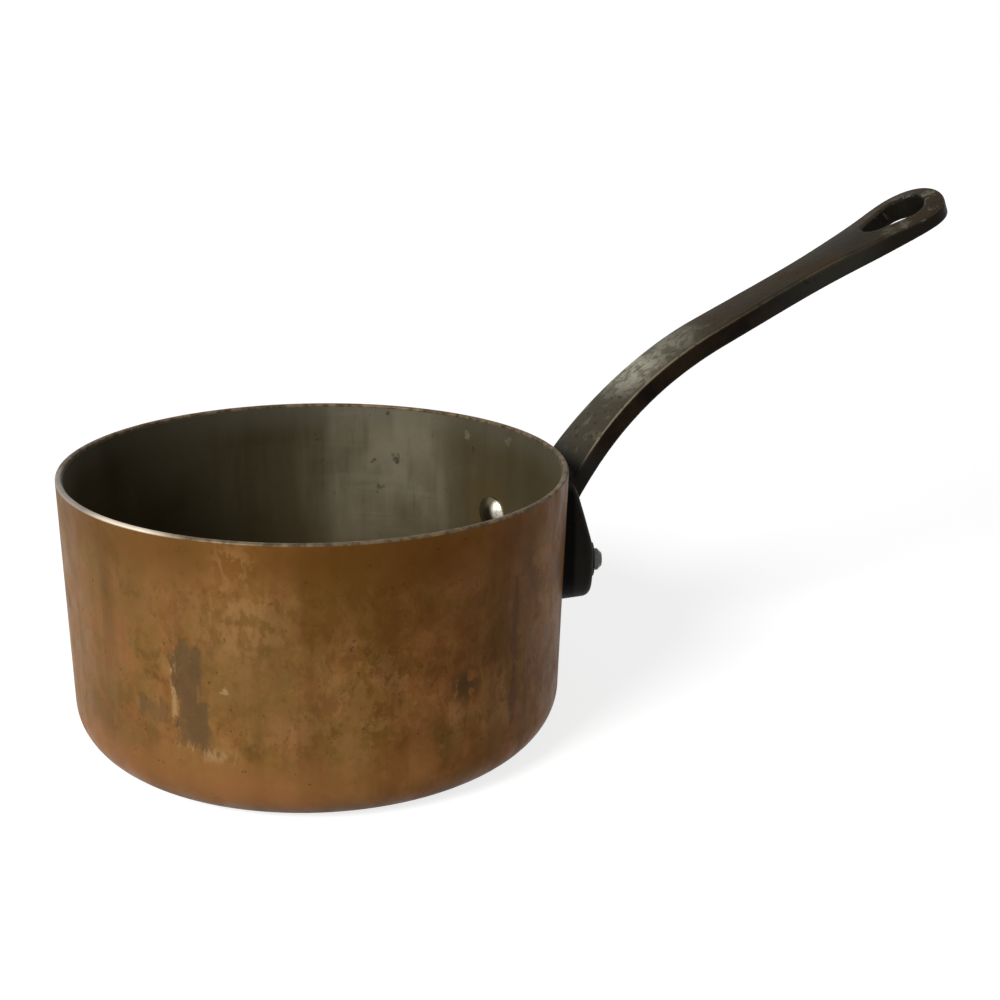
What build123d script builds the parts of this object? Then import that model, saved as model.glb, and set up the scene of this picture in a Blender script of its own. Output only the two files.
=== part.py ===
from build123d import *
import math
import os

# A small straight-sided copper saucepan with a cast-iron handle, held by three rivets.
# Millimetres and degrees. The origin is the centre of the base, on the resting surface,
# with +Z up and the handle pointing along +X.

# Vessel
rim_diameter = 160.0
pan_height = 87.0
base_draw_in = 1.9
wall_thickness = 1.9
base_corner_radius = 14.5
rim_edge_radius = 0.7

# Tin lining, wiped over the whole inside
lining_thickness = 0.3
lining_edge_drop = 1.0

# Handle: a straight grip that rises to a tip that turns up a little, and a neck that bends down to the wall
grip_reach = 60.0
grip_rise = 36.3
grip_rise_angle = 24.7
grip_length = 102.2
tip_length = 38.2
tip_bend_radius = 400.0
neck_root_depth = 3.7
neck_end_angle = 62.0
grip_width = 17.5
root_width = 27.0
eye_end_width = 31.4
eye_end_length = 12.8
grip_thickness = 8.0
eye_end_thickness = 8.2
crown_rise = 2.2
belly_rise = 2.2
grip_edge_radius = 1.5

# Width of the handle, as (share of the length, share of the way from grip width to end width)
neck_width_shares = ((1.0, 1.0), (0.77, 0.66), (0.64, 0.45), (0.5, 0.29), (0.3, 0.18), (0.08, 0.19))
grip_width_shares = ((0.28, 0.0), (0.46, 0.05), (0.64, 0.40), (0.77, 0.76))
bar_margin_share = 1.16

# Hanging eye: an egg-shaped hole, broad towards the tip, which narrows downwards
eye_width = 17.4
eye_length = 25.3
eye_tip_wall = 6.4
eye_root_radius = 5.0
eye_draft_angle = 16.0

# Flange: a cast plate that fits the wall, thin at the top and thick round its rivets
flange_top_drop = 9.0
flange_top_thickness = 3.6
flange_full_drop = 28.0
flange_thickness = 9.6
lobe_bevel_drop = 6.0
lobe_bevel_depth = 5.0
lobe_bevel_radius = 7.0
flange_shoulder_width = 54.0
flange_width = 75.0
flange_side_drop = 25.0
flange_lobe_drop = 51.0
flange_middle_width = 16.0
flange_middle_drop = 41.0
flange_edge_radius = 3.2
shoulder_radius = 6.0
side_radius = 14.0
lobe_radius = 11.5
middle_radius = 4.0
swell_radius = 20.0
foot_top_width = 40.0
foot_width = 20.0
foot_drop = 58.5
foot_thickness = 4.2
foot_radius = 8.0
foot_edge_radius = 1.2
blend_radius = 3.0

# Rivets: domed heads inside, hammered heads outside
upper_rivet_spacing = 54.0
upper_rivet_drop = 33.2
lower_rivet_drop = 50.0
rivet_diameter = 6.0
inner_head_diameter = 12.4
inner_head_height = 3.0
outer_head_diameter = 7.2
outer_head_height = 2.8
head_edge_share = 0.25
seat_diameter = 11.0
seat_height = 0.4
rivet_hole_clearance = 0.05

# One overrun for all cuts
overrun = 5.0

rim_radius = rim_diameter / 2
base_radius = rim_radius - base_draw_in


def wall_radius(z):
    """Outer radius of the vessel's wall at a height."""
    return base_radius + base_draw_in * z / pan_height


def vessel(inset):
    """Filled form of the vessel, drawn in everywhere by the inset."""
    bottom = (base_radius - inset, inset)
    top = (rim_radius - inset, pan_height)
    with BuildSketch(Plane.XZ) as profile:
        with BuildLine():
            Polyline((0, inset), bottom, top, (0, pan_height), close=True)
        make_face()
        corner = profile.vertices().sort_by_distance(Vector(*bottom))[0]
        fillet(corner, base_corner_radius - inset)
    return revolve(profile.sketch, Axis.Z)


def make_pan_body(holes):
    """The copper vessel, with its rim edge rounded and its rivet holes."""
    shell = vessel(0) - vessel(wall_thickness)
    rim = shell.faces().sort_by(Axis.Z)[-1]
    shell = fillet(rim.edges(), rim_edge_radius)
    return shell - holes


def make_lining(holes):
    """The skin of tin inside the copper, which stops just under the rounded rim."""
    skin = vessel(wall_thickness) - vessel(wall_thickness + lining_thickness)
    top = Pos(0, 0, pan_height - lining_edge_drop) * Cylinder(
        rim_diameter, overrun, align=(Align.CENTER, Align.CENTER, Align.MIN))
    return skin - top - holes


# The handle's top line seen from the side: the grip, and the arc of the neck that is tangent to it

grip_start = Vector(rim_radius + grip_reach, 0, pan_height + grip_rise)


def direction(angle):
    """Unit direction in the handle's plane, at an angle above level."""
    return Vector(math.cos(math.radians(angle)), 0, math.sin(math.radians(angle)))


grip_plane = Plane(origin=grip_start, x_dir=direction(grip_rise_angle), z_dir=direction(grip_rise_angle + 90))
neck_bend = direction(neck_end_angle - 90) - direction(grip_rise_angle - 90)
neck_bend_radius = (grip_reach + neck_root_depth) / neck_bend.X
neck_length = neck_bend_radius * math.sin(math.radians(neck_end_angle - grip_rise_angle))


def bar_section(point, angle, thickness):
    """Lens-shaped cross-section of the bar, a little wider than its widest part."""
    half = bar_margin_share * eye_end_width / 2
    top = -crown_rise
    bottom = belly_rise - thickness
    plane = Plane(origin=point, x_dir=(0, 1, 0), z_dir=direction(angle))
    with BuildSketch(plane) as section:
        with BuildLine():
            ThreePointArc((-half, top), (0, 0), (half, top))
            Line((half, top), (half, bottom))
            ThreePointArc((half, bottom), (0, -thickness), (-half, bottom))
            Line((-half, bottom), (-half, top))
        make_face()
    return section.sketch


def make_bar():
    """The bent bar before its outline is cut: a neck, a grip, and a tip that turns up."""
    start = bar_section(grip_start, grip_rise_angle, grip_thickness)
    down = direction(grip_rise_angle - 90)
    bend_axis = Axis(grip_start + down * neck_bend_radius, (0, -1, 0))
    neck = revolve(start, bend_axis, neck_end_angle - grip_rise_angle)
    tip_start = grip_start + direction(grip_rise_angle) * (grip_length - tip_length)
    end = bar_section(tip_start, grip_rise_angle, eye_end_thickness)
    turn = math.degrees((tip_length + overrun) / tip_bend_radius)
    tip = revolve(end, Axis(tip_start - down * tip_bend_radius, (0, -1, 0)), turn)
    return neck + loft([start, end], ruled=True) + tip


def make_outline():
    """The handle's outline, square to the grip, extruded through the whole bar."""
    side = [(-length * neck_length, (grip_width + way * (root_width - grip_width)) / 2)
            for length, way in neck_width_shares]
    side += [(length * grip_length, (grip_width + way * (eye_end_width - grip_width)) / 2)
             for length, way in grip_width_shares]
    end_start = grip_length - eye_end_length
    side.append((end_start, eye_end_width / 2))
    other_side = [(x, -y) for x, y in side]
    with BuildSketch(grip_plane.offset(neck_bend_radius)) as outline:
        with BuildLine():
            Spline(*side, tangents=[(1, -0.1), (1, 0)])
            Spline(*other_side, tangents=[(1, 0.1), (1, 0)])
            EllipticalCenterArc((end_start, 0), eye_end_length, eye_end_width / 2, start_angle=-90, arc_size=180)
            Line(side[0], other_side[0])
        make_face()
    return extrude(outline.sketch, amount=-2 * neck_bend_radius)


def make_eye():
    """Cutter for the hanging eye: a large and a small circle, joined by tangents, that narrows downwards."""
    round_end = grip_length - eye_tip_wall - eye_width / 2
    root_end = grip_length - eye_tip_wall - eye_length + eye_root_radius
    draft = overrun * math.tan(math.radians(eye_draft_angle))
    with BuildSketch(grip_plane.offset(overrun)) as eye:
        with Locations((round_end, 0)):
            Circle(eye_width / 2 + draft)
        with Locations((root_end, 0)):
            Circle(eye_root_radius + draft)
        make_hull()
    return extrude(eye.sketch, amount=-(eye_end_thickness + 2 * overrun), taper=eye_draft_angle)


def make_grip():
    """The bar cut to its outline, with its eye, and with softened edges."""
    grip = (make_bar() & make_outline()) - make_eye()
    square = grip_plane.z_dir
    halfway = math.sin(math.radians(45))
    sides = grip.faces().filter_by(lambda face: abs(face.normal_at().dot(square)) < halfway)
    edges = [edge for side in sides for edge in side.edges() if abs(edge.tangent_at(0.5).dot(square)) < halfway]
    return fillet(edges, grip_edge_radius)


def press(corners):
    """Bar along X with an outline symmetric about Y, given as (half-width, drop below the rim, radius)."""
    points = [(half, pan_height - drop) for half, drop, _ in corners]
    points += [(-half, pan_height - drop) for half, drop, _ in reversed(corners)]
    with BuildSketch(Plane.YZ) as front:
        with BuildLine():
            Polyline(*points, close=True)
        make_face()
        for half, drop, radius in corners:
            for side in (half, -half):
                corner = front.vertices().sort_by_distance(Vector(side, pan_height - drop))[0]
                if radius > 0:
                    fillet(corner, radius)
    return extrude(front.sketch, amount=rim_diameter)


def coat(layers):
    """Turned form that fills the vessel and covers its wall, given as (drop below the rim, thickness, radius)."""
    points = [(wall_radius(pan_height - drop) + thickness, pan_height - drop) for drop, thickness, _ in layers]
    with BuildSketch(Plane.XZ) as profile:
        with BuildLine():
            Polyline(*points, (0, points[-1][1]), (0, points[0][1]), close=True)
        make_face()
        for point, (_, _, radius) in zip(points[1:-1], layers[1:-1]):
            fillet(profile.vertices().sort_by_distance(Vector(*point))[0], radius)
    return revolve(profile.sketch, Axis.Z)


def soften_outline(plate, radius):
    """Rounds the edges between a plate's outer face and its sides."""
    sides = plate.faces().filter_by(lambda face: abs(face.normal_at().X) < 0.001)
    edges = [edge for side in sides for edge in side.edges() if edge.bounding_box().min.X > overrun]
    return fillet(edges, radius)


def make_flange_plate():
    """The upper flange, which swells from its top edge to two lobes round the upper rivets."""
    corners = (
        (flange_shoulder_width / 2, flange_top_drop, shoulder_radius),
        (flange_width / 2, flange_side_drop, side_radius),
        (flange_width / 2, flange_lobe_drop, lobe_radius),
        (flange_middle_width / 2, flange_middle_drop, middle_radius),
    )
    swelling = (flange_thickness - flange_top_thickness) / (flange_full_drop - flange_top_drop)
    thinning = lobe_bevel_depth / lobe_bevel_drop
    layers = (
        (flange_top_drop - overrun, flange_top_thickness - overrun * swelling, 0),
        (flange_full_drop, flange_thickness, swell_radius),
        (flange_lobe_drop - lobe_bevel_drop, flange_thickness, lobe_bevel_radius),
        (flange_lobe_drop + overrun, flange_thickness - lobe_bevel_depth - overrun * thinning, 0),
    )
    return soften_outline(coat(layers) & press(corners), flange_edge_radius)


def make_foot():
    """The thin foot of the flange, which tapers down to the lower rivet."""
    corners = (
        (foot_top_width / 2, upper_rivet_drop, 0),
        (foot_width / 2, foot_drop, foot_radius),
    )
    layers = ((upper_rivet_drop - overrun, foot_thickness, 0), (foot_drop + overrun, foot_thickness, 0))
    return soften_outline(coat(layers) & press(corners), foot_edge_radius)


def rivet_places():
    """Name, angle round the vessel and height of each rivet."""
    swing = math.degrees(math.asin(upper_rivet_spacing / rim_diameter))
    upper = pan_height - upper_rivet_drop
    lower = pan_height - lower_rivet_drop
    return (("rivet_left", swing, upper), ("rivet_right", -swing, upper), ("rivet_lower", 0, lower))


def rivet_frame(angle, height):
    """Plane on the wall's outer face, with its normal pointing straight out."""
    out = Vector(math.cos(math.radians(angle)), math.sin(math.radians(angle)), 0)
    return Plane(origin=out * wall_radius(height) + Vector(0, 0, height), z_dir=out)


def seat_thickness(name):
    """Thickness of the flange under a rivet's outer head."""
    return (foot_thickness if name == "rivet_lower" else flange_thickness) + seat_height


def join(one, other, radius):
    """Fuses two pieces and rounds the corner where they meet."""
    fused = one + other
    return fillet(new_edges(one, other, combined=fused), radius)


def make_handle(holes):
    """Grip, neck, flange and rivet seats, cast as one piece."""
    flange = join(make_flange_plate(), make_foot(), blend_radius)
    casting = join(flange, make_grip(), blend_radius)
    for name, angle, height in rivet_places():
        seat = rivet_frame(angle, height) * Cylinder(
            seat_diameter / 2, seat_thickness(name), align=(Align.CENTER, Align.CENTER, Align.MIN))
        casting = casting + seat
    return casting - vessel(0) - holes


def make_holes():
    """Rivet holes through flange, wall and lining."""
    radius = rivet_diameter / 2 + rivet_hole_clearance
    length = 2 * (flange_thickness + wall_thickness + overrun)
    return [rivet_frame(angle, height) * Cylinder(radius, length) for _, angle, height in rivet_places()]


def make_rivet(name, angle, height):
    """Shank with a domed head that fits the lining and a hammered head on the flange's seat."""
    outer_top = seat_thickness(name)
    inner_face = -wall_thickness - lining_thickness
    frame = rivet_frame(angle, height)
    with BuildSketch(Plane.XZ) as dome:
        with BuildLine():
            radius = inner_head_diameter / 2
            edge = inner_face - inner_head_height * head_edge_share
            Polyline((0, inner_face - inner_head_height), (0, 0), (radius, 0), (radius, edge))
            RadiusArc((radius, edge), (0, inner_face - inner_head_height), dome_radius())
        make_face()
    with BuildSketch(Plane.XZ) as hammered:
        with BuildLine():
            radius = outer_head_diameter / 2
            bevel = outer_head_height * head_edge_share * 2
            Polyline(
                (0, outer_top),
                (radius, outer_top),
                (radius, outer_top + outer_head_height - bevel),
                (radius - bevel, outer_top + outer_head_height),
                (0, outer_top + outer_head_height),
                close=True)
        make_face()
    inner_head = (frame * revolve(dome.sketch, Axis.Z)) & vessel(wall_thickness + lining_thickness)
    outer_head = frame * revolve(hammered.sketch, Axis.Z)
    shank = frame * Pos(0, 0, edge) * Cylinder(
        rivet_diameter / 2, outer_top - edge, align=(Align.CENTER, Align.CENTER, Align.MIN))
    return inner_head + shank + outer_head


def dome_radius():
    """Radius of the inner head's dome, which meets the axis square."""
    rise = inner_head_height * (1 - head_edge_share)
    half = inner_head_diameter / 2
    return (half ** 2 + rise ** 2) / (2 * rise)


def main():
    os.makedirs("parts", exist_ok=True)
    holes = make_holes()
    export_step(make_pan_body(holes), "parts/pan_body.step")
    export_step(make_lining(holes), "parts/tin_lining.step")
    export_step(make_handle(holes), "parts/handle.step")
    for name, angle, height in rivet_places():
        export_step(make_rivet(name, angle, height), f"parts/{name}.step")


main()
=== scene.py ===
import math

import bpy
from mathutils import Matrix, Vector

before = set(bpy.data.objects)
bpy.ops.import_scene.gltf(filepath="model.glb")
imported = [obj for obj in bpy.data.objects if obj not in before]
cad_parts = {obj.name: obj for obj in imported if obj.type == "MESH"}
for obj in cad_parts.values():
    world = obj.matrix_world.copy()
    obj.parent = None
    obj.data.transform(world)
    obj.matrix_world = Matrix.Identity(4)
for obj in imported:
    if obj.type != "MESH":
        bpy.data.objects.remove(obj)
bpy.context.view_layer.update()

# Lengths are in metres, angles in radians and colours linear. The frame is the CAD's: the origin is the
# centre of the base, +Z is up and the handle points along +X.

# Vessel
HEIGHT = 0.087

# Camera, from the photographed rim, base and handle
CAMERA_AT = Vector((-0.13281, -0.44174, 0.21842))
CAMERA_TURN = math.radians(-24.0)
CAMERA_PITCH = 0.3026
CAMERA_ROLL = 0.0176
CAMERA_LENS_MM = 54.0
CAMERA_SENSOR_MM = 36.0

# Floor and light
FLOOR_SIZE = 8.0
FLOOR_DROP = 0.0002
FLOOR_GREY = (0.55, 0.55, 0.55, 1.0)
FLOOR_ROUGHNESS = 0.9
FLOOR_GLOW = 0.78
FLOOR_GLOW_GROWS = (0.35, 1.30)     # distances from the origin between which the glow grows to full white
WHITE = (1.0, 1.0, 1.0, 1.0)
SKY = 0.13
KEY_AT = Vector((-1.25, -0.72, 0.98))
KEY_SIZE = 0.75
KEY_POWER = 27.0
FILL_AT = Vector((0.2, -1.4, 1.2))
FILL_SIZE = 1.2
FILL_POWER = 1.5

# The tables below have these columns.
#   Patterns: scale, detail, roughness and distortion of a noise, and its stretch along X, Y and Z.
#   Layers: pattern, the value where the layer begins, the value where it is full, its share there, colour.
#   Patches: centre on the wall, half width, half height, soft edge, how far a pattern roughens the edge.
#   Spots: centre, radius, soft edge.
# A pair of numbers whose name says no more is where a change begins and where it is complete.

# Copper
COPPER_PATTERNS = {
    "cloud": (16.0, 5.0, 0.60, 0.3, None),
    "blotch": (58.0, 6.0, 0.66, 0.3, None),
    "flake": (135.0, 5.0, 0.60, 0.3, (1.0, 1.0, 0.66)),
    "chip": (330.0, 4.0, 0.60, 0.2, (1.0, 1.0, 0.60)),
    "hue": (31.0, 4.0, 0.60, 0.3, (1.0, 1.0, 0.80)),
    "streak": (85.0, 4.0, 0.60, 0.0, (1.0, 1.0, 0.07)),
    "mottle": (105.0, 7.0, 0.72, 0.2, (1.0, 1.0, 0.80)),
    "tint": (120.0, 5.0, 0.62, 0.3, (1.0, 1.0, 0.85)),
    "speck": (520.0, 2.0, 0.50, 0.0, None),
    "spikes": (430.0, 3.0, 0.60, 0.0, (1.0, 1.0, 0.30)),
}
# Partly patina, partly painted shade: the copper's base colour darker to the right, away from the light.
COPPER_LIT_LEFT, COPPER_SHADED_RIGHT = (0.226, 0.112, 0.030), (0.142, 0.050, 0.007)
COPPER_SHADE_TURNS_AT_X = (-0.035, 0.020)
COPPER_CLOUDS = (
    ("cloud", 0.520, 0.360, 0.55, (0.128, 0.058, 0.009)),
    ("cloud", 0.500, 0.660, 0.45, (0.255, 0.122, 0.030)),
    ("hue", 0.500, 0.620, 0.50, (0.262, 0.108, 0.028)),
    ("hue", 0.480, 0.380, 0.50, (0.178, 0.098, 0.018)),
    ("blotch", 0.480, 0.600, 0.42, (0.272, 0.134, 0.042)),
    ("blotch", 0.460, 0.360, 0.55, (0.108, 0.046, 0.008)),
    ("tint", 0.525, 0.565, 0.34, (0.275, 0.106, 0.040)),
    ("tint", 0.475, 0.435, 0.30, (0.158, 0.092, 0.024)),
)
COPPER_FLAKES = (
    ("mottle", 0.530, 0.580, 0.42, (0.315, 0.160, 0.062)),
    ("mottle", 0.460, 0.370, 0.36, (0.122, 0.048, 0.010)),
    ("flake", 0.540, 0.585, 0.30, (0.310, 0.162, 0.056)),
    ("flake", 0.450, 0.405, 0.30, (0.100, 0.038, 0.009)),
    ("chip", 0.585, 0.630, 0.30, (0.330, 0.160, 0.055)),
    ("chip", 0.400, 0.360, 0.32, (0.075, 0.027, 0.007)),
)
COPPER_STREAKS = (
    ("streak", 0.500, 0.720, 0.42, (0.098, 0.038, 0.008)),
    ("streak", 0.480, 0.300, 0.28, (0.275, 0.132, 0.042)),
)
COPPER_SPECKS = (("speck", 0.700, 0.740, 0.55, (0.050, 0.024, 0.012)),)

# The flakes lie in a belt round the wall, and are fewer at the far left
BELT_FOOT_Z = (0.014, 0.030)
BELT_TOP_Z = (0.068, 0.080)
BELT_LEFT_X, BELT_LEFT_SHARE = (-0.074, -0.052), 0.15
UNDER_RIM_Z, UNDER_RIM_SHARE, UNDER_RIM_COLOUR = (0.070, 0.083), 0.65, (0.140, 0.054, 0.009)

# Patches with the pattern of their edge, their share and their colour
COPPER_SHADES = (
    (((-0.0083, -0.0791, 0.0740), 0.014, 0.010, 0.018, 0.016), "blotch", 0.62, (0.100, 0.040, 0.006)),
    (((0.0298, -0.0737, 0.0620), 0.010, 0.012, 0.016, 0.016), "hue", 0.50, (0.088, 0.032, 0.006)),
    (((-0.0430, -0.0665, 0.0480), 0.008, 0.010, 0.014, 0.016), "flake", 0.50, (0.172, 0.096, 0.028)),
)
LOW_Z, LOW_X, LOW_RIGHT_SHARE = (0.026, 0.012), (0.010, -0.030), 0.25
LOW_SHARE, LOW_COLOUR = 0.55, (0.300, 0.128, 0.044)

# The grey worn patch, as patches with their strength, and the pale strokes and the fleck beside it
WORN_PATCHES = (
    (((-0.0559, -0.0563, 0.0461), 0.0032, 0.0076, 0.0026, 0.009), 1.0),
    (((-0.0544, -0.0569, 0.0318), 0.0036, 0.0060, 0.0030, 0.010), 1.0),
    (((-0.0640, -0.0470, 0.0330), 0.0040, 0.0012, 0.0030, 0.012), 0.6),
)
WORN_SHARE, WORN_COLOUR = 0.68, (0.098, 0.062, 0.030)
PALE_EDGE, PALE_EDGE_CHIPS = ((-0.0592, -0.0530, 0.0400), 0.0005, 0.0110, 0.0010, 0.004), (0.44, 0.52)
PALE_STROKES = ((-0.0517, -0.0592, 0.0222), 0.0080, 0.0012, 0.0030, 0.010)
PALE_STROKE_SPIKES, PALE_STROKE_SHARE = (0.46, 0.58), 0.85
PALE_FLECK, PALE_FLECK_SHAKE = ((-0.0469, -0.0640, 0.0430), 0.0004, 0.0010), (420.0, 0.0040)
PALE_SHARE, PALE_COLOUR = 0.65, (0.420, 0.260, 0.125)

# Single places on the wall
LIGHT_SPOTS = (((-0.0440, -0.0660, 0.0640), 0.004, 0.016), ((-0.0440, -0.0660, 0.0803), 0.002, 0.007))
LIGHT_CHIPS, LIGHT_SHARE, LIGHT_COLOUR = (0.46, 0.56), 0.45, (0.350, 0.180, 0.068)
DARK_SPOT, DARK_CHIPS = ((0.0204, -0.0766, 0.0386), 0.002, 0.006), (0.56, 0.48)
DARK_SHARE, DARK_COLOUR = 0.8, (0.055, 0.034, 0.012)
STAIN = ((0.0387, -0.0692, 0.0440), 0.0004, 0.0230, 0.0018, 0.008)
STAIN_SHARE, STAIN_COLOUR = 0.5, (0.060, 0.022, 0.008)

# Broad changes of tone over the wall and its base corner: painted shade darker to the right, at the upper
# left and at the base corner, and a darker band at the very bottom
RIGHT_SHADE_X, RIGHT_SHADE_SHARES, RIGHT_SHADE_COLOUR = (-0.030, 0.020), (0.02, 0.15), (0.060, 0.022, 0.003)
DIM_SHADE_Z, DIM_SHADE_X, DIM_SHADE_SHARE, DIM_SHADE_COLOUR = (0.048, 0.066), (-0.042, -0.058), 0.30, (0.135, 0.070, 0.020)
CORNER_SHADE_Z, CORNER_SHADE_X, CORNER_SHADE_SHARES = (0.0100, 0.0040), (-0.060, 0.000), (0.15, 0.40)
CORNER_SHADE_COLOUR = (0.120, 0.056, 0.016)
BASE_Z, BASE_SHARE, BASE_COLOUR = (0.0070, 0.0014), 0.75, (0.055, 0.034, 0.026)

# Rim, dull and mottled, with a painted sheen at the left and a painted highlight at one place
RIM_Z, RIM_INSIDE_Z, RIM_INSIDE_RADIUS = (0.0861, 0.0866), (0.0850, 0.0855), (0.0794, 0.0789)
RIM_CHIPS, RIM_DARK, RIM_LIGHT = (0.36, 0.64), (0.078, 0.053, 0.028), (0.190, 0.138, 0.083)
RIM_SHEEN_SPOT = ((-0.0775, -0.0100, 0.0870), 0.024, 0.016)
RIM_SHEEN_SHARE, RIM_SHEEN = 0.70, (0.370, 0.330, 0.280)
RIM_HIGHLIGHT_SPOT, RIM_HIGHLIGHT = ((-0.0680, -0.0420, 0.0870), 0.005, 0.017), (0.800, 0.700, 0.540)

# Tin
TIN_PATTERNS = {
    "cloud": (24.0, 5.0, 0.60, 0.3, None),
    "stroke": (95.0, 4.0, 0.60, 0.0, (1.0, 1.0, 0.16)),
    "wipe": (260.0, 3.0, 0.60, 0.0, (0.10, 0.10, 1.0)),
    "fine": (330.0, 4.0, 0.60, 0.6, None),
    "grit": (760.0, 3.0, 0.60, 0.0, None),
}
TIN_CLOUDS, TIN_DARK, TIN_LIGHT = (0.34, 0.66), (0.140, 0.119, 0.074), (0.215, 0.187, 0.122)
TIN_STROKES = (
    ("stroke", 0.50, 0.70, 0.40, (0.260, 0.230, 0.160)),
    ("stroke", 0.46, 0.34, 0.35, (0.085, 0.072, 0.044)),
    ("wipe", 0.52, 0.70, 0.22, (0.250, 0.225, 0.165)),
)
TIN_PITS = (("fine", 0.66, 0.72, 0.45, (0.045, 0.036, 0.024)),)
# Painted shade: the lining darker at low X, on the side that the light does not reach.
INSIDE_SHADE_X, INSIDE_SHADE_WAVER, INSIDE_SHADE_SHARE, INSIDE_SHADE_COLOUR = (0.045, 0.020), 0.012, 0.80, (0.041, 0.030, 0.011)
BROWN_X, BROWN_SHARE, BROWN_COLOUR = (0.056, 0.069), 0.76, (0.062, 0.043, 0.015)
DEEP_Z, DEEP_SHARE, DEEP_COLOUR = (0.062, 0.018), 0.70, (0.070, 0.050, 0.022)
TIN_TOP_Z, TIN_TOP_SHARE, TIN_TOP_COLOUR = (0.074, 0.086), 0.35, (0.150, 0.145, 0.115)

# The tin's flat bottom, wiped in rings
BOTTOM_Z, BOTTOM_RADIUS, BOTTOM_SHARE = (0.0050, 0.0028), (0.066, 0.050), 0.85
BOTTOM_CLOUDS, BOTTOM_DARK, BOTTOM_LIGHT = (0.36, 0.64), (0.105, 0.082, 0.044), (0.190, 0.160, 0.105)
RINGS, RINGS_WAVER = (300.0, 3.0, 0.60), (0.06, 0.06, 0.0)
RINGS_RANGE, RINGS_SHARE, RINGS_COLOUR = (0.50, 0.66), 0.18, (0.260, 0.230, 0.165)

# Marks inside
TIN_SHAKE = (420.0, 0.0055)
MARK_SPOTS = (
    ((0.0433, 0.0638, 0.0561), 0.0008, 0.0010),
    ((0.0487, 0.0600, 0.0674), 0.0007, 0.0010),
    ((0.0480, 0.0606, 0.0686), 0.0005, 0.0010),
    ((0.0416, 0.0652, 0.0660), 0.0004, 0.0010),
    ((0.0458, 0.0622, 0.0848), 0.0008, 0.0010),
    ((0.0220, 0.0744, 0.0740), 0.0003, 0.0010),
    ((0.0688, 0.0357, 0.0752), 0.0004, 0.0010),
)
MARK_GRIT, MARK_LEAST, MARK_SHARE, MARK_COLOUR = (0.36, 0.52), 0.45, 0.72, (0.036, 0.030, 0.018)
SCUFF_SPOTS = (((0.0677, 0.0379, 0.0800), 0.0006, 0.0012), ((0.0752, 0.0195, 0.0817), 0.0006, 0.0014))
SCUFF_GRIT, SCUFF_SHARES, SCUFF_COLOUR = (0.40, 0.56), (0.2, 0.5), (0.280, 0.250, 0.175)
SHEEN_SPOT, SHEEN_SHARE, SHEEN_COLOUR = ((-0.0363, 0.0685, 0.0750), 0.004, 0.022), 0.45, (0.120, 0.106, 0.066)
RIVET_STAIN, RIVET_STAIN_SHARE = ((0.0708, 0.0283, 0.0570), 0.0075, 0.0050), 0.75
RIVET_STAIN_COLOUR = (0.100, 0.070, 0.028)

# Cast iron
IRON_PATTERNS = {
    "grain": (900.0, 3.0, 0.60, 0.0, None),
    "cloud": (42.0, 5.0, 0.62, 0.3, None),
    "rub": (260.0, 5.0, 0.65, 0.6, None),
    "pit": (420.0, 3.0, 0.55, 0.0, None),
}
IRON_PITS = (("pit", 0.60, 0.68, 0.50, (0.010, 0.008, 0.006)),)
TOP_CLOUDS, TOP_DARK, TOP_LIGHT = (0.36, 0.64), (0.018, 0.014, 0.0075), (0.038, 0.030, 0.016)
GREY_X, GREY_SHARE, GREY_COLOUR = (0.158, 0.116), 0.8, (0.068, 0.060, 0.041)
RUST_X, RUST_CLOUDS, RUST_SHARES = (0.125, 0.150), (0.42, 0.60), (0.30, 0.85)
RUST_COLOUR = (0.034, 0.021, 0.010)
# Worn and painted highlight: a near-white patch on top of the neck.
NECK_WEAR_AND_HIGHLIGHT = (                       # spots with their strength
    (((0.1150, 0.0030, 0.1085), 0.0035, 0.0140), 1.0),
    (((0.1275, 0.0030, 0.1165), 0.0030, 0.0130), 0.5),
)
NECK_WEAR_AND_HIGHLIGHT_RUB, NECK_WEAR_AND_HIGHLIGHT_LEAST = (0.38, 0.58), 0.30
NECK_WEAR_AND_HIGHLIGHT_SHARE, NECK_WEAR_AND_HIGHLIGHT_COLOUR = 0.90, (0.400, 0.380, 0.290)
RUBBED_RANGE, RUBBED_SHARE, RUBBED_COLOUR = (0.55, 0.72), 0.6, (0.170, 0.155, 0.110)
# Painted shade: a dark spot on top at the eye's root.
EYE_ROOT_SHADE_SPOT, EYE_ROOT_SHADE_SHARE = ((0.1985, 0.0, 0.1510), 0.003, 0.010), 0.65
EYE_ROOT_SHADE_COLOUR = (0.012, 0.010, 0.007)
# Painted shade: the flanks of the grip darker than its top, as lit and shaded copies of the same iron.
FLANK_CLOUDS, FLANK_SHADE_DARK, FLANK_SHADE_LIGHT = (0.40, 0.62), (0.005, 0.0035, 0.0025), (0.018, 0.011, 0.006)
FLANK_GREY_X, FLANK_GREY_SHARE, FLANK_GREY = (0.145, 0.185), 0.80, (0.032, 0.030, 0.024)
FLANK_TIP_X, FLANK_TIP_SHARE, FLANK_TIP = (0.194, 0.210), 0.75, (0.009, 0.0065, 0.004)
TOP_FACES = (0.35, 0.72)            # upward part of the normal between which the flank gives way to the top

# The worn line along the grip's edges, where the normal turns from the top to the sides; it is partly a
# painted highlight along the rounded edge
LINE_SIDE, LINE_UP = (0.42, 0.58), (0.38, 0.56)
LINE_CLOUDS, LINE_LEAST = (0.38, 0.54), 0.45
LINE_FADES = (((0.112, 0.145), 0.22), ((0.180, 0.200), 0.25))
LINE_COLOUR = (0.200, 0.160, 0.105)

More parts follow.
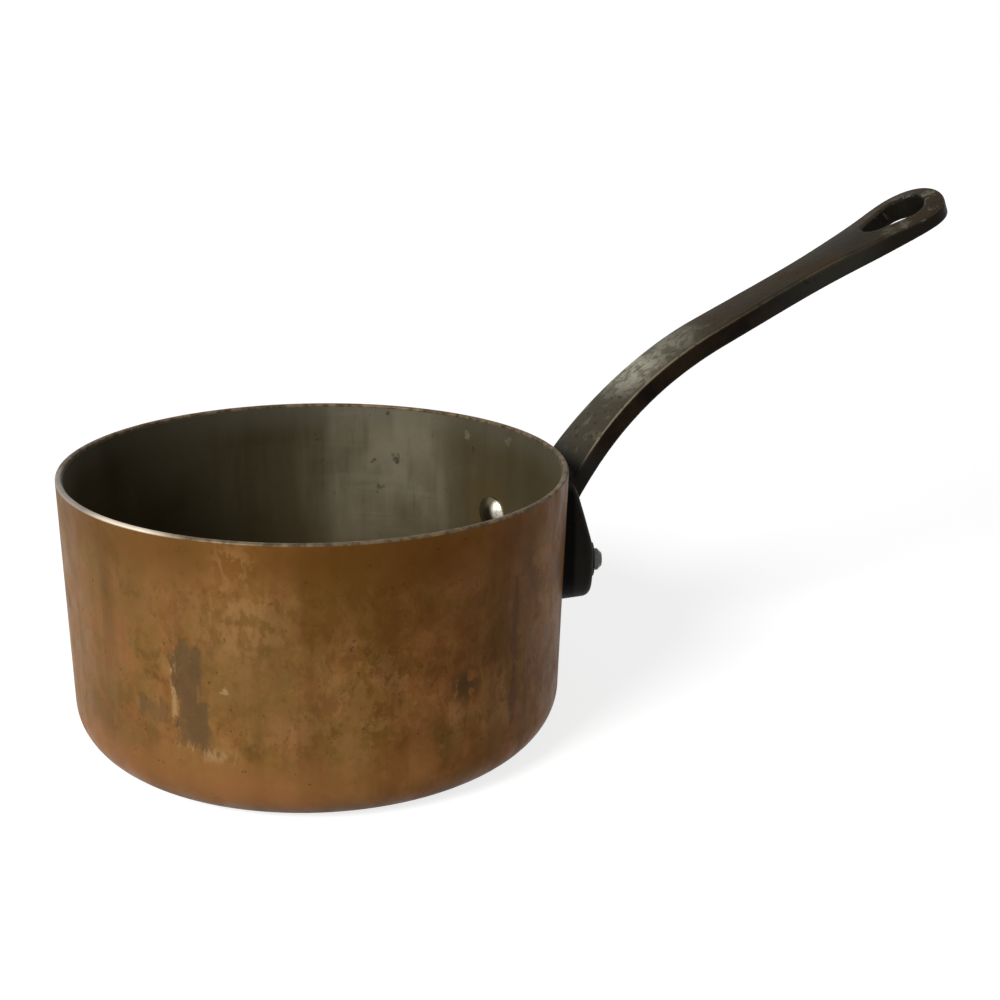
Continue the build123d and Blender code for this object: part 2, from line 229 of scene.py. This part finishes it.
# The eye: painted shade in its bore, bare places round it that are partly painted highlights, and specks
# towards the tip
BORE_SHADE_SPOT, BORE_SHADE_FACES = ((0.2165, 0.0, 0.1560), 0.0130, 0.0010), (0.75, 0.50)
BORE_SHADE_SHARE, BORE_SHADE_COLOUR = 0.85, (0.009, 0.0075, 0.005)
# Bare worn iron round the eye, partly painted highlights on its edges.
BARE_AND_GLINT_SPOTS = (
    ((0.2125, -0.0120, 0.1559), 0.0012, 0.0028),
    ((0.2073, -0.0108, 0.1535), 0.0014, 0.0028),
    ((0.2242, 0.0078, 0.1630), 0.0006, 0.0028),
    ((0.2280, -0.0022, 0.1653), 0.0010, 0.0028),
)
BARE_AND_GLINT_RUB, BARE_AND_GLINT_SHARES, BARE_AND_GLINT_FACES = (0.42, 0.58), (0.10, 0.50), (0.45, 0.75)
BARE_AND_GLINT_COLOUR = (0.150, 0.140, 0.105)
TIP_X, TIP_RUB, TIP_SHARE, TIP_FACES = (0.205, 0.222), (0.54, 0.64), 0.6, (0.2, 0.5)
TIP_COLOUR = (0.190, 0.175, 0.135)

# The flange, with painted shade black beside the wall, a little lighter outside, and a painted sheen on its
# lobes
FLANGE_Z, FLANGE_OUT_RADIUS = (0.088, 0.078), (0.0820, 0.0836)
FLANGE_SHADE_BLACK, FLANGE_CLOUDS = (0.0010, 0.0007, 0.0005), (0.4, 0.6)
FLANGE_DARK, FLANGE_LIGHT = (0.0100, 0.0088, 0.0068), (0.0200, 0.0182, 0.0148)
# Painted sheen: slightly lighter bluish discs on the flange's lobes.
LOBE_SHEEN_SPOTS = (((0.0865, -0.0285, 0.0538), 0.0095, 0.0030), ((0.0865, 0.0285, 0.0538), 0.0095, 0.0030))
LOBE_SHEEN_SHARE, LOBE_SHEEN_COLOUR = 0.75, (0.015, 0.014, 0.0135)

# Rivets
RIVET_PATTERNS = {"mottle": (420.0, 4.0, 0.60, 0.0, None)}
RIVET_OUTSIDE_RADIUS = (0.079, 0.080)
# Painted highlight on the inner rivet heads; the rest of each inner head has painted shade.
RIVET_HIGHLIGHT_SPOTS = (((0.0738, 0.0208, 0.0562), 0.0028, 0.0022), ((0.0735, -0.0250, 0.0540), 0.0030, 0.0040))
RIVET_HIGHLIGHT_MOTTLE, RIVET_HIGHLIGHT_DARK, RIVET_HIGHLIGHT_LIGHT = (0.40, 0.62), (0.68, 0.63, 0.50), (0.84, 0.80, 0.68)
RIVET_HEAD_SHADE = (0.130, 0.105, 0.062)
HAMMERED_MOTTLE, HAMMERED_DARK, HAMMERED_LIGHT = (0.42, 0.60), (0.030, 0.028, 0.025), (0.085, 0.082, 0.074)
METALLIC_INSIDE, METALLIC_OUTSIDE, METALLIC_HIGHLIGHT = 0.9, 0.4, -0.45

# Noise values at which a surface's roughness or metallic share is least and most, and the depth of every bump
SURFACE_RANGE, TIN_SURFACE_RANGE, IRON_SURFACE_RANGE = (0.35, 0.65), (0.30, 0.75), (0.30, 0.70)
BUMP_DEPTH = 0.0003


# Small helpers for node materials

class Nodes:
    """A material's node tree, with short calls for the nodes that the materials share."""

    def __init__(self, name, patterns=()):
        self.material = bpy.data.materials.new(name)
        self.material.use_nodes = True
        self.tree = self.material.node_tree
        self.shader = self.tree.nodes["Principled BSDF"]
        coordinates = self.tree.nodes.new("ShaderNodeTexCoord")
        self.place = coordinates.outputs["Object"]
        self.normal = coordinates.outputs["Normal"]
        self.pattern = {key: self.noise(*patterns[key]) for key in patterns}

    def link(self, source, target):
        if isinstance(source, bpy.types.NodeSocket):
            self.tree.links.new(source, target)
        else:
            target.default_value = source

    def set(self, name, source):
        self.link(source, self.shader.inputs[name])

    def math(self, operation, *sources):
        node = self.tree.nodes.new("ShaderNodeMath")
        node.operation = operation
        for source, target in zip(sources, node.inputs):
            self.link(source, target)
        return node.outputs[0]

    def both(self, one, other):
        return self.math("MULTIPLY", one, other)

    def most(self, sources):
        """The greatest of several values."""
        greatest, *others = sources
        for other in others:
            greatest = self.math("MAXIMUM", greatest, other)
        return greatest

    def vector(self, operation, one, other):
        node = self.tree.nodes.new("ShaderNodeVectorMath")
        node.operation = operation
        self.link(one, node.inputs[0])
        self.link(other, node.inputs[1])
        gives_number = operation in ("LENGTH", "DISTANCE", "DOT_PRODUCT")
        return node.outputs["Value" if gives_number else "Vector"]

    def axis(self, vector, index):
        node = self.tree.nodes.new("ShaderNodeSeparateXYZ")
        self.link(vector, node.inputs[0])
        return node.outputs[index]

    def stretch(self, scale):
        """Object coordinates scaled by an (x, y, z) triple, to draw a pattern out along an axis."""
        return self.vector("MULTIPLY", self.place, scale)

    def radius(self):
        """Distance from the pan's axis."""
        return self.vector("LENGTH", self.stretch((1.0, 1.0, 0.0)), (0, 0, 0))

    def noise(self, scale, detail, roughness, distortion=0.0, stretch=None, at=None):
        node = self.tree.nodes.new("ShaderNodeTexNoise")
        if at is None:
            at = self.stretch(stretch) if stretch else self.place
        self.link(at, node.inputs["Vector"])
        for name, value in (("Scale", scale), ("Detail", detail), ("Roughness", roughness),
                            ("Distortion", distortion)):
            node.inputs[name].default_value = value
        return node.outputs["Fac"]

    def ramp(self, source, ends, start=0.0, end=1.0):
        """Smooth step of a value between two ends, mapped to start and end."""
        node = self.tree.nodes.new("ShaderNodeMapRange")
        node.interpolation_type = "SMOOTHSTEP"
        self.link(source, node.inputs["Value"])
        for name, value in (("From Min", ends[0]), ("From Max", ends[1]), ("To Min", start), ("To Max", end)):
            node.inputs[name].default_value = value
        return node.outputs["Result"]

    def mix(self, share, one, other):
        """Colour between one and other, either of which is a socket or an (r, g, b) triple."""
        node = self.tree.nodes.new("ShaderNodeMix")
        node.data_type = "RGBA"
        self.link(share, node.inputs["Factor"])
        for source, name in ((one, "A"), (other, "B")):
            socket = [s for s in node.inputs if s.name == name and s.type == "RGBA"][0]
            self.link(source if isinstance(source, bpy.types.NodeSocket) else (*source, 1.0), socket)
        return [s for s in node.outputs if s.type == "RGBA"][0]

    def layers(self, colour, rows, mask=None):
        """Colour with the rows of a table of layers laid over it, within a mask."""
        for key, begins, full, share, tone in rows:
            amount = self.ramp(self.pattern[key], (begins, full), 0.0, share)
            colour = self.mix(amount if mask is None else self.both(mask, amount), colour, tone)
        return colour

    def shake(self, scale, amount):
        """Object coordinates pushed about by a noise, which makes the outline of a mark irregular."""
        node = self.tree.nodes.new("ShaderNodeTexNoise")
        self.link(self.place, node.inputs["Vector"])
        node.inputs["Scale"].default_value = scale
        push = self.vector("SUBTRACT", node.outputs["Color"], (0.5, 0.5, 0.5))
        return self.vector("ADD", self.place, self.vector("MULTIPLY", push, (amount, amount, amount)))

    def near(self, spot, at=None):
        """1 within a spot's radius, falling to 0 over its soft edge."""
        centre, reach, soft = spot
        distance = self.vector("DISTANCE", self.place if at is None else at, centre)
        return self.ramp(distance, (reach, reach + soft), 1.0, 0.0)

    def patch(self, row, edge):
        """1 inside an upright patch of the round wall, with a ragged edge that follows a pattern."""
        (x, y, z), half_width, half_height, soft, ragged = row
        radius = math.hypot(x, y)
        across = self.vector("DOT_PRODUCT", self.place, (-y / radius, x / radius, 0.0))
        outward = self.vector("DOT_PRODUCT", self.place, (x / radius, y / radius, 0.0))
        up = self.math("SUBTRACT", self.axis(self.place, 2), z)
        shift = self.math("MULTIPLY_ADD", self.pattern[edge], ragged, -0.5 * ragged)
        wide = self.math("ADD", self.math("ABSOLUTE", across), shift)
        high = self.math("ADD", self.math("ABSOLUTE", up), shift)
        mask = self.both(self.ramp(wide, (half_width, half_width + soft), 1.0, 0.0),
                         self.ramp(high, (half_height, half_height + soft), 1.0, 0.0))
        near_side = self.ramp(outward, (0.4 * radius, 0.6 * radius))
        return self.both(mask, near_side)

    def spun(self, across):
        """Point that depends only on the distance from the axis, so that a pattern on it runs in rings."""
        node = self.tree.nodes.new("ShaderNodeCombineXYZ")
        self.link(across, node.inputs[0])
        return node.outputs[0]

    def bump(self, height, strength):
        node = self.tree.nodes.new("ShaderNodeBump")
        node.inputs["Strength"].default_value = strength
        node.inputs["Distance"].default_value = BUMP_DEPTH
        self.link(height, node.inputs["Height"])
        self.tree.links.new(node.outputs["Normal"], self.shader.inputs["Normal"])


# Materials

def copper_wall(n, along, height):
    """Colour of the copper's patina, with its flakes and streaks, over a base that is partly patina and
    partly painted shade, darker to the right.
    """
    belt = n.both(n.ramp(height, BELT_FOOT_Z), n.ramp(height, BELT_TOP_Z, 1.0, 0.0))
    belt = n.both(belt, n.ramp(along, BELT_LEFT_X, BELT_LEFT_SHARE, 1.0))
    # Painted shade, partly patina: darker to the right.
    colour = n.mix(n.ramp(along, COPPER_SHADE_TURNS_AT_X), COPPER_LIT_LEFT, COPPER_SHADED_RIGHT)
    colour = n.layers(colour, COPPER_CLOUDS)
    colour = n.layers(colour, COPPER_FLAKES, belt)
    colour = n.layers(colour, COPPER_STREAKS)
    colour = n.mix(n.ramp(height, UNDER_RIM_Z, 0.0, UNDER_RIM_SHARE), colour, UNDER_RIM_COLOUR)
    for row, edge, share, tone in COPPER_SHADES:
        colour = n.mix(n.both(n.patch(row, edge), share), colour, tone)
    low = n.both(n.ramp(height, LOW_Z), n.ramp(along, LOW_X, LOW_RIGHT_SHARE, 1.0))
    return n.mix(n.both(low, LOW_SHARE), colour, LOW_COLOUR)


def copper_marks(n, colour):
    """Colour with the worn patch, the pale strokes beside it, and the single light and dark places."""
    chip = n.pattern["chip"]
    worn = n.most([n.both(n.patch(row, "chip"), strength) for row, strength in WORN_PATCHES])
    colour = n.mix(n.both(worn, WORN_SHARE), colour, WORN_COLOUR)
    edge = n.both(n.patch(PALE_EDGE, "chip"), n.ramp(chip, PALE_EDGE_CHIPS))
    spikes = n.ramp(n.pattern["spikes"], PALE_STROKE_SPIKES, 0.0, PALE_STROKE_SHARE)
    strokes = n.both(n.patch(PALE_STROKES, "spikes"), spikes)
    fleck = n.near(PALE_FLECK, n.shake(*PALE_FLECK_SHAKE))
    colour = n.mix(n.both(n.most((edge, strokes, fleck)), PALE_SHARE), colour, PALE_COLOUR)
    light = n.most([n.near(spot) for spot in LIGHT_SPOTS])
    colour = n.mix(n.both(light, n.ramp(chip, LIGHT_CHIPS, 0.0, LIGHT_SHARE)), colour, LIGHT_COLOUR)
    dark = n.both(n.near(DARK_SPOT), n.ramp(chip, DARK_CHIPS, 0.0, DARK_SHARE))
    colour = n.mix(dark, colour, DARK_COLOUR)
    return n.mix(n.both(n.patch(STAIN, "flake"), STAIN_SHARE), colour, STAIN_COLOUR)


def copper_outside():
    """Aged copper: brown and gold patina with flakes, streaks, a grey worn patch and a dull, mottled rim,
    with painted shade to the right, at the upper left and at the base corner, and a painted sheen and
    highlight on the rim.
    """
    n = Nodes("copper_patina", COPPER_PATTERNS)
    along, height = n.axis(n.place, 0), n.axis(n.place, 2)
    blotch, flake = n.pattern["blotch"], n.pattern["flake"]
    colour = copper_marks(n, copper_wall(n, along, height))
    colour = n.layers(colour, COPPER_SPECKS)
    # Painted shade: darker towards the right.
    colour = n.mix(n.ramp(along, RIGHT_SHADE_X, *RIGHT_SHADE_SHARES), colour, RIGHT_SHADE_COLOUR)
    # Painted shade: the upper left of the wall darker.
    dim_shade = n.both(n.ramp(height, DIM_SHADE_Z), n.ramp(along, DIM_SHADE_X))
    colour = n.mix(n.both(dim_shade, DIM_SHADE_SHARE), colour, DIM_SHADE_COLOUR)
    # Painted shade: the base corner darker, more so to the right.
    corner = n.both(n.ramp(height, CORNER_SHADE_Z), n.ramp(along, CORNER_SHADE_X, *CORNER_SHADE_SHARES))
    colour = n.mix(corner, colour, CORNER_SHADE_COLOUR)
    colour = n.mix(n.ramp(height, BASE_Z, 0.0, BASE_SHARE), colour, BASE_COLOUR)

    inside = n.both(n.ramp(height, RIM_INSIDE_Z), n.ramp(n.radius(), RIM_INSIDE_RADIUS))
    rim = n.most((n.ramp(height, RIM_Z), inside))
    colour = n.mix(rim, colour, n.mix(n.ramp(n.pattern["chip"], RIM_CHIPS), RIM_DARK, RIM_LIGHT))
    # Painted sheen: the rim pale grey at the left.
    colour = n.mix(n.both(n.both(rim, n.near(RIM_SHEEN_SPOT)), RIM_SHEEN_SHARE), colour, RIM_SHEEN)
    # Painted highlight: a near-white spot on the rim.
    colour = n.mix(n.both(rim, n.near(RIM_HIGHLIGHT_SPOT)), colour, RIM_HIGHLIGHT)
    n.set("Base Color", colour)
    n.set("Metallic", n.ramp(blotch, SURFACE_RANGE, 0.16, 0.28))
    n.set("Roughness", n.ramp(flake, SURFACE_RANGE, 0.40, 0.54))
    n.set("Specular IOR Level", 0.04)
    n.bump(n.math("MULTIPLY_ADD", blotch, 2.0, flake), 0.10)
    return n.material


def tin():
    """Wiped tin, dull and tarnished, with strokes, marks, scuffs, a stain by a rivet and a browner bottom,
    and painted shade darkening the lining at low X.
    """
    n = Nodes("tin_dull", TIN_PATTERNS)
    along, height = n.axis(n.place, 0), n.axis(n.place, 2)
    cloud, stroke, grit = n.pattern["cloud"], n.pattern["stroke"], n.pattern["grit"]
    colour = n.mix(n.ramp(cloud, TIN_CLOUDS), TIN_DARK, TIN_LIGHT)
    colour = n.layers(colour, TIN_STROKES)
    # Painted shade over the lining at low X, with a wavering edge.
    inside_shade = n.ramp(n.math("MULTIPLY_ADD", stroke, INSIDE_SHADE_WAVER, along), INSIDE_SHADE_X, 0.0, INSIDE_SHADE_SHARE)
    colour = n.mix(inside_shade, colour, INSIDE_SHADE_COLOUR)
    colour = n.mix(n.ramp(along, BROWN_X, 0.0, BROWN_SHARE), colour, BROWN_COLOUR)
    colour = n.mix(n.ramp(height, DEEP_Z, 0.0, DEEP_SHARE), colour, DEEP_COLOUR)

    across = n.radius()
    flat = n.both(n.ramp(height, BOTTOM_Z), n.ramp(across, BOTTOM_RADIUS))
    rings = n.noise(*RINGS, at=n.vector("ADD", n.spun(across), n.stretch(RINGS_WAVER)))
    bottom = n.mix(n.ramp(cloud, BOTTOM_CLOUDS), BOTTOM_DARK, BOTTOM_LIGHT)
    bottom = n.mix(n.ramp(rings, RINGS_RANGE, 0.0, RINGS_SHARE), bottom, RINGS_COLOUR)
    colour = n.mix(n.both(flat, BOTTOM_SHARE), colour, bottom)
    colour = n.mix(n.ramp(height, TIN_TOP_Z, 0.0, TIN_TOP_SHARE), colour, TIN_TOP_COLOUR)

    shaken = n.shake(*TIN_SHAKE)
    marks = n.most([n.near(spot, shaken) for spot in MARK_SPOTS])
    marks = n.both(marks, n.ramp(grit, MARK_GRIT, MARK_LEAST, 1.0))
    colour = n.mix(n.both(marks, MARK_SHARE), colour, MARK_COLOUR)
    scuffs = n.most([n.near(spot, shaken) for spot in SCUFF_SPOTS])
    colour = n.mix(n.both(scuffs, n.ramp(grit, SCUFF_GRIT, *SCUFF_SHARES)), colour, SCUFF_COLOUR)
    colour = n.layers(colour, TIN_PITS)
    colour = n.mix(n.both(n.near(SHEEN_SPOT), SHEEN_SHARE), colour, SHEEN_COLOUR)
    colour = n.mix(n.both(n.near(RIVET_STAIN, shaken), RIVET_STAIN_SHARE), colour, RIVET_STAIN_COLOUR)
    n.set("Base Color", colour)
    n.set("Metallic", 0.25)
    n.set("Roughness", n.ramp(stroke, TIN_SURFACE_RANGE, 0.40, 0.54))
    n.set("Specular IOR Level", 0.06)
    n.bump(n.math("MULTIPLY_ADD", n.pattern["wipe"], 0.5, stroke), 0.12)
    return n.material


def iron_grip(n, length, up):
    """Colour of the grip: grey and worn on top near the root, with a worn patch that is partly a painted
    highlight, brown towards the eye, painted shade at the eye's root, and the sides darker as painted shade.
    """
    cloud, rub = n.pattern["cloud"], n.pattern["rub"]
    top = n.mix(n.ramp(cloud, TOP_CLOUDS), TOP_DARK, TOP_LIGHT)
    grey = n.ramp(length, GREY_X)
    top = n.mix(n.both(grey, GREY_SHARE), top, GREY_COLOUR)
    top = n.mix(n.both(n.ramp(length, RUST_X), n.ramp(cloud, RUST_CLOUDS, *RUST_SHARES)), top, RUST_COLOUR)
    # Worn patch on the neck, partly a painted highlight.
    worn = n.most([n.both(n.near(spot), strength) for spot, strength in NECK_WEAR_AND_HIGHLIGHT])
    worn = n.both(worn, n.ramp(rub, NECK_WEAR_AND_HIGHLIGHT_RUB, NECK_WEAR_AND_HIGHLIGHT_LEAST, 1.0))
    top = n.mix(n.both(worn, NECK_WEAR_AND_HIGHLIGHT_SHARE), top, NECK_WEAR_AND_HIGHLIGHT_COLOUR)
    top = n.mix(n.both(grey, n.ramp(rub, RUBBED_RANGE, 0.0, RUBBED_SHARE)), top, RUBBED_COLOUR)
    # Painted shade at the eye's root.
    top = n.mix(n.both(n.near(EYE_ROOT_SHADE_SPOT), EYE_ROOT_SHADE_SHARE), top, EYE_ROOT_SHADE_COLOUR)
    # Painted shade: the sides darker than the top.
    flank = n.mix(n.ramp(cloud, FLANK_CLOUDS), FLANK_SHADE_DARK, FLANK_SHADE_LIGHT)
    flank = n.mix(n.ramp(length, FLANK_GREY_X, 0.0, FLANK_GREY_SHARE), flank, FLANK_GREY)
    flank = n.mix(n.ramp(length, FLANK_TIP_X, 0.0, FLANK_TIP_SHARE), flank, FLANK_TIP)
    return n.mix(n.ramp(up, TOP_FACES), flank, top)


def iron_eye(n, length, up, colour):
    """Colour with painted shade in the eye's bore, the bare places round it, partly painted highlights, and
    the specks towards the tip.
    """
    rub = n.pattern["rub"]
    # Painted shade: the eye's bore near black.
    bore = n.both(n.near(BORE_SHADE_SPOT), n.ramp(up, BORE_SHADE_FACES))
    colour = n.mix(n.both(bore, BORE_SHADE_SHARE), colour, BORE_SHADE_COLOUR)
    # Bare places, partly painted highlights.
    for spot in BARE_AND_GLINT_SPOTS:
        bare = n.both(n.near(spot), n.ramp(rub, BARE_AND_GLINT_RUB, *BARE_AND_GLINT_SHARES))
        colour = n.mix(n.both(bare, n.ramp(up, BARE_AND_GLINT_FACES)), colour, BARE_AND_GLINT_COLOUR)
    tip = n.both(n.ramp(length, TIP_X), n.ramp(rub, TIP_RUB, 0.0, TIP_SHARE))
    return n.mix(n.both(tip, n.ramp(up, TIP_FACES)), colour, TIP_COLOUR)


def cast_iron():
    """Dark cast iron: the grip with its worn edges, partly painted highlights, the eye, and the flange, with
    painted shade black beside the wall and a painted sheen on its lobes.
    """
    n = Nodes("cast_iron_worn", IRON_PATTERNS)
    length, height = n.axis(n.place, 0), n.axis(n.place, 2)
    side, up = n.math("ABSOLUTE", n.axis(n.normal, 1)), n.axis(n.normal, 2)
    cloud, pit = n.pattern["cloud"], n.pattern["pit"]
    colour = iron_grip(n, length, up)

    # Worn edge line, partly a painted highlight.
    line = n.both(n.ramp(side, LINE_SIDE), n.ramp(up, LINE_UP))
    line = n.both(line, n.ramp(cloud, LINE_CLOUDS, LINE_LEAST, 1.0))
    fade = n.both(*[n.ramp(length, ends, 1.0, remains) for ends, remains in LINE_FADES])
    colour = n.mix(n.both(line, fade), colour, LINE_COLOUR)
    colour = iron_eye(n, length, up, colour)

    face = n.mix(n.ramp(cloud, FLANGE_CLOUDS), FLANGE_DARK, FLANGE_LIGHT)
    # Painted shade: the flange black beside the wall.
    flange = n.mix(n.ramp(n.radius(), FLANGE_OUT_RADIUS), FLANGE_SHADE_BLACK, face)
    colour = n.mix(n.ramp(height, FLANGE_Z), colour, flange)
    # Painted sheen on the lobes.
    lobe_sheen = n.most([n.near(spot) for spot in LOBE_SHEEN_SPOTS])
    colour = n.mix(n.both(lobe_sheen, LOBE_SHEEN_SHARE), colour, LOBE_SHEEN_COLOUR)
    colour = n.layers(colour, IRON_PITS)
    n.set("Base Color", colour)
    n.set("Metallic", 0.15)
    n.set("Roughness", n.ramp(cloud, IRON_SURFACE_RANGE, 0.42, 0.58))
    n.set("Specular IOR Level", 0.03)
    n.bump(n.math("MULTIPLY_ADD", pit, 1.6, n.pattern["grain"]), 0.22)
    return n.material


def rivet_metal():
    """Tinned rivets: inside the pan a painted highlight on each head, whose rest has painted shade, and dark
    outside.
    """
    n = Nodes("rivet_tinned", RIVET_PATTERNS)
    mottle = n.pattern["mottle"]
    outside = n.ramp(n.radius(), RIVET_OUTSIDE_RADIUS)
    # Painted highlight on the inner heads, painted shade elsewhere on them.
    rivet_highlight = n.most([n.near(spot) for spot in RIVET_HIGHLIGHT_SPOTS])
    inner = n.mix(n.ramp(mottle, RIVET_HIGHLIGHT_MOTTLE), RIVET_HIGHLIGHT_DARK, RIVET_HIGHLIGHT_LIGHT)
    inner = n.mix(rivet_highlight, RIVET_HEAD_SHADE, inner)
    outer = n.mix(n.ramp(mottle, HAMMERED_MOTTLE), HAMMERED_DARK, HAMMERED_LIGHT)
    metallic = n.ramp(outside, (0.0, 1.0), METALLIC_INSIDE, METALLIC_OUTSIDE)
    n.set("Base Color", n.mix(outside, inner, outer))
    n.set("Metallic", n.math("MULTIPLY_ADD", rivet_highlight, METALLIC_HIGHLIGHT, metallic))
    n.set("Roughness", n.ramp(mottle, IRON_SURFACE_RANGE, 0.22, 0.36))
    n.bump(mottle, 0.15)
    return n.material


def shown_rays(tree):
    """1 for rays from the camera and for those that gloss and glass send out."""
    path = tree.nodes.new("ShaderNodeLightPath")
    seen = path.outputs["Is Camera Ray"]
    for name in ("Is Glossy Ray", "Is Transmission Ray"):
        greater = tree.nodes.new("ShaderNodeMath")
        greater.operation = "MAXIMUM"
        tree.links.new(seen, greater.inputs[0])
        tree.links.new(path.outputs[name], greater.inputs[1])
        seen = greater.outputs[0]
    return seen


def floor_white():
    """White floor that keeps the pan's shadow, and meets the white behind it without a line."""
    n = Nodes("floor_white")
    glow = n.ramp(n.vector("LENGTH", n.place, (0, 0, 0)), FLOOR_GLOW_GROWS, FLOOR_GLOW, 1.0)
    n.set("Base Color", FLOOR_GREY)
    n.set("Roughness", FLOOR_ROUGHNESS)
    n.set("Specular IOR Level", 0.0)
    n.set("Emission Color", WHITE)
    n.set("Emission Strength", n.both(shown_rays(n.tree), glow))
    return n.material


# The room

def make_floor():
    bpy.ops.mesh.primitive_plane_add(size=FLOOR_SIZE, location=(0, 0, -FLOOR_DROP))
    floor = bpy.context.object
    floor.name = "floor"
    floor.data.materials.append(floor_white())


def make_world():
    """White where the camera or a gloss looks, and a soft grey sky for the light that it sheds."""
    world = bpy.data.worlds.new("studio")
    bpy.context.scene.world = world
    world.use_nodes = True
    tree = world.node_tree
    strength = tree.nodes.new("ShaderNodeMapRange")
    strength.inputs["To Min"].default_value = SKY
    strength.inputs["To Max"].default_value = 1.0
    tree.links.new(shown_rays(tree), strength.inputs["Value"])
    background = tree.nodes["Background"]
    background.inputs["Color"].default_value = WHITE
    tree.links.new(strength.outputs["Result"], background.inputs["Strength"])


def make_lamp(name, at, size, power):
    """Round lamp that shines on the middle of the vessel."""
    data = bpy.data.lights.new(name, "AREA")
    data.shape = "DISK"
    data.size = size
    data.energy = power
    lamp = bpy.data.objects.new(name, data)
    bpy.context.collection.objects.link(lamp)
    lamp.location = at
    lamp.rotation_mode = "QUATERNION"
    lamp.rotation_quaternion = (Vector((0, 0, HEIGHT / 2)) - at).to_track_quat("-Z", "Y")


def make_camera():
    data = bpy.data.cameras.new("camera")
    data.lens = CAMERA_LENS_MM
    data.sensor_width = CAMERA_SENSOR_MM
    camera = bpy.data.objects.new("camera", data)
    bpy.context.collection.objects.link(camera)
    turn = Matrix.Rotation(CAMERA_TURN, 4, "Z")
    tilt = Matrix.Rotation(math.pi / 2 - CAMERA_PITCH, 4, "X")
    roll = Matrix.Rotation(CAMERA_ROLL, 4, "Z")
    camera.matrix_world = Matrix.Translation(CAMERA_AT) @ turn @ tilt @ roll
    bpy.context.scene.camera = camera


def dress(node, material):
    """Gives a CAD node its material."""
    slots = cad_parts[node].data.materials
    slots.clear()
    slots.append(material)


make_camera()
make_world()
make_floor()
make_lamp("key", KEY_AT, KEY_SIZE, KEY_POWER)
make_lamp("fill", FILL_AT, FILL_SIZE, FILL_POWER)
dress("pan_body", copper_outside())
dress("tin_lining", tin())
dress("handle", cast_iron())
rivets = rivet_metal()
for rivet in ("rivet_left", "rivet_right", "rivet_lower"):
    dress(rivet, rivets)

bpy.context.scene.view_settings.view_transform = "Standard"
